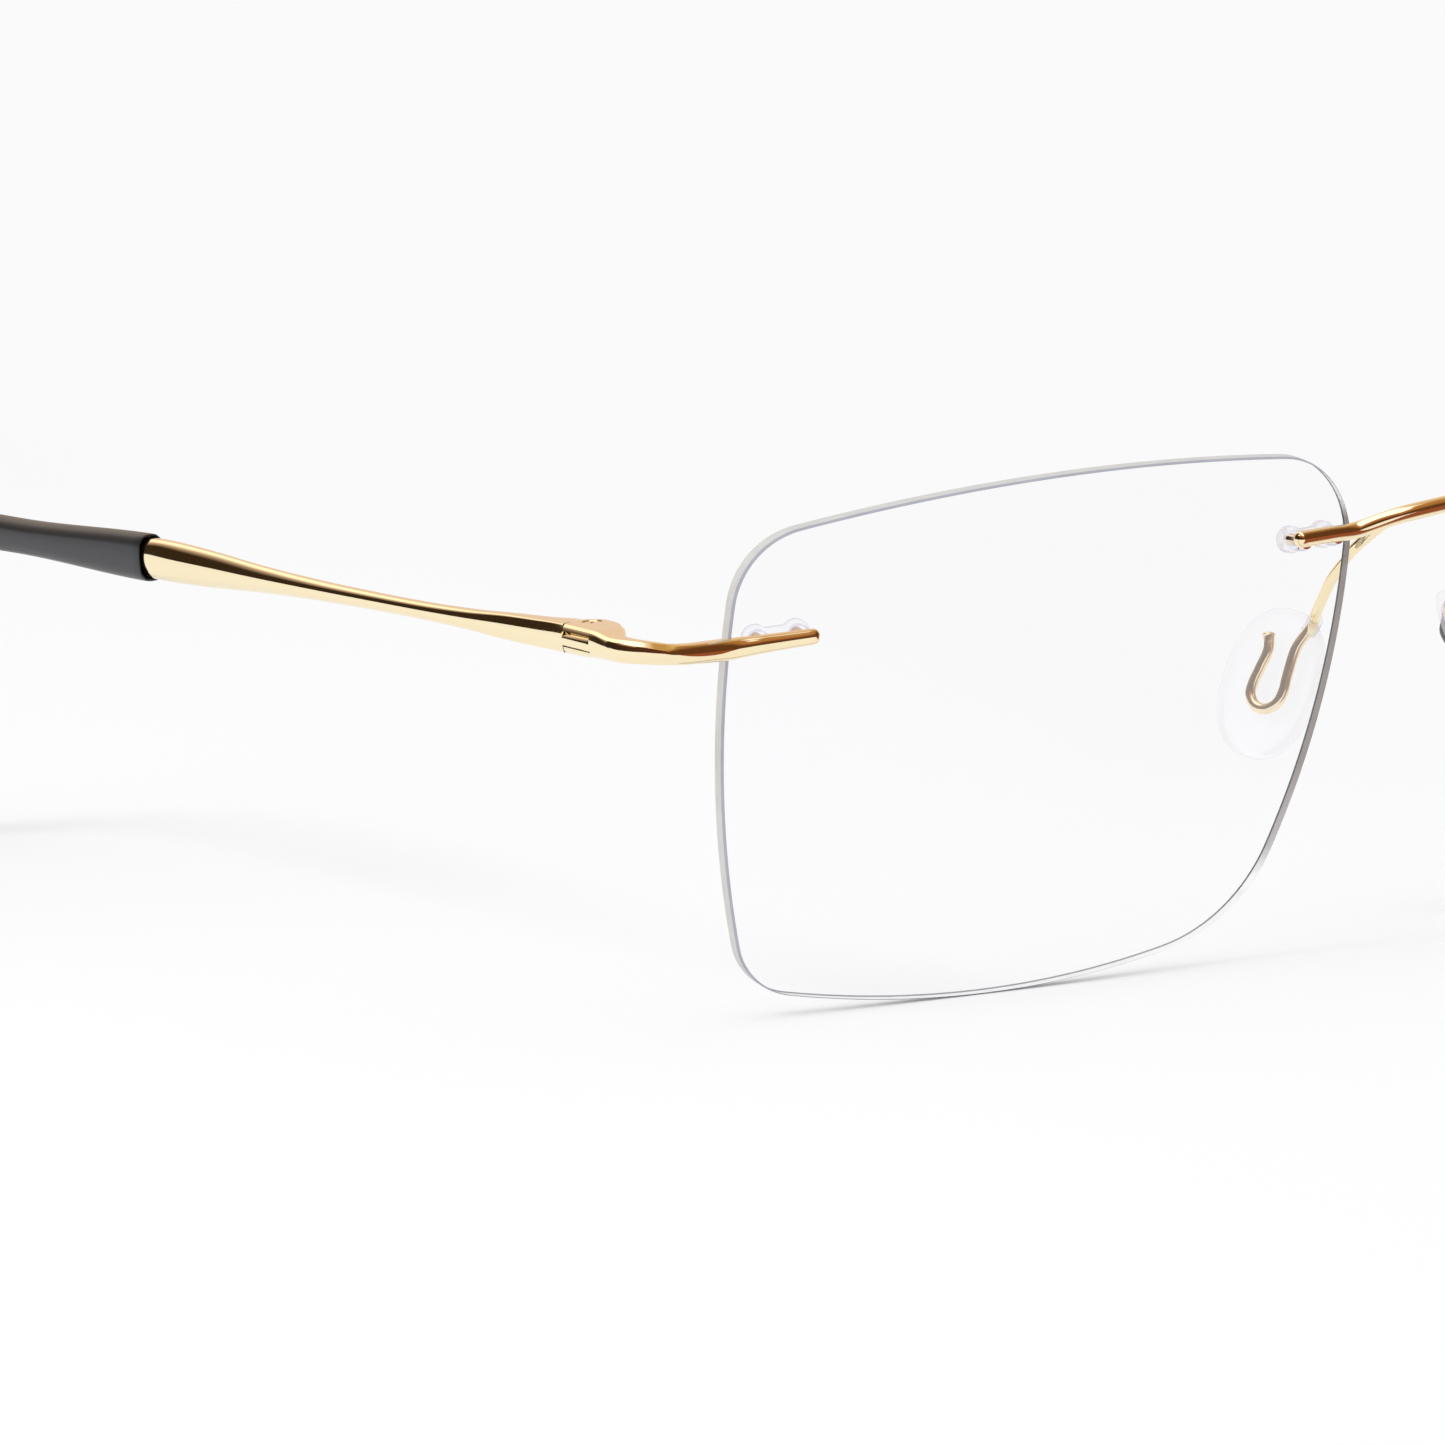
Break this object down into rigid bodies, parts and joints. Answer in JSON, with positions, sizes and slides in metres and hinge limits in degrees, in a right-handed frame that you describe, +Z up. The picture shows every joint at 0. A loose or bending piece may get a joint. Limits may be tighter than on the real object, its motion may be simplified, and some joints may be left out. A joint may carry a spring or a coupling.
{
  "type": "rimless eyeglasses",
  "caption": "Rimless eyeglasses: clear rectangular lenses on through-lens mounts, polished gold metal frame, clear nose pads, folding temples with black tips.",
  "frame": {"origin": "on the table, in the middle of the footprint of the open glasses; they stand open on the lower edges of the lenses and the ends of the temple tips", "axes": "+Z up, +Y back along the temples towards the ears, +X towards the wearer's left; x = 0 is the mirror plane"},
  "size_m": [0.1602, 0.1371, 0.0399],
  "materials": {
    "polished_gold": "mirror polished, gold plated",
    "satin_black": "satin",
    "clear_lens": "polished clear, faint anti-reflection tint",
    "clear_silicone": "smooth translucent",
    "clear_sleeve": "clear gloss"
  },
  "bodies": {
    "front": {"bridge_bar": "polished_gold", "right_lens": "clear_lens", "right_temporal_sleeve": "clear_sleeve", "right_temporal_post_outer": "polished_gold", "right_temporal_post_inner": "polished_gold", "right_nasal_sleeve": "clear_sleeve", "right_nasal_post_outer": "polished_gold", "right_nasal_post_inner": "polished_gold", "right_pad_arm": "polished_gold", "right_nose_pad": "clear_silicone", "right_end_piece": "polished_gold", "right_hinge_screw": "polished_gold", "left_lens": "clear_lens", "left_temporal_sleeve": "clear_sleeve", "left_temporal_post_outer": "polished_gold", "left_temporal_post_inner": "polished_gold", "left_nasal_sleeve": "clear_sleeve", "left_nasal_post_outer": "polished_gold", "left_nasal_post_inner": "polished_gold", "left_pad_arm": "polished_gold", "left_nose_pad": "clear_silicone", "left_end_piece": "polished_gold", "left_hinge_screw": "polished_gold"},
    "right_temple_body": {"right_temple": "polished_gold", "right_temple_tip": "satin_black"},
    "left_temple_body": {"left_temple": "polished_gold", "left_temple_tip": "satin_black"}
  },
  "joints": [
    {"name": "right_temple_fold", "type": "hinge", "parent": "front", "child": "right_temple_body", "pos_m": [-0.06775, -0.0552, 0.02945], "axis": [0, 0, -1], "range_deg": [0, 87]},
    {"name": "left_temple_fold", "type": "hinge", "parent": "front", "child": "left_temple_body", "pos_m": [0.06775, -0.0552, 0.02945], "axis": [0, 0, 1], "range_deg": [0, 94]}
  ]
}
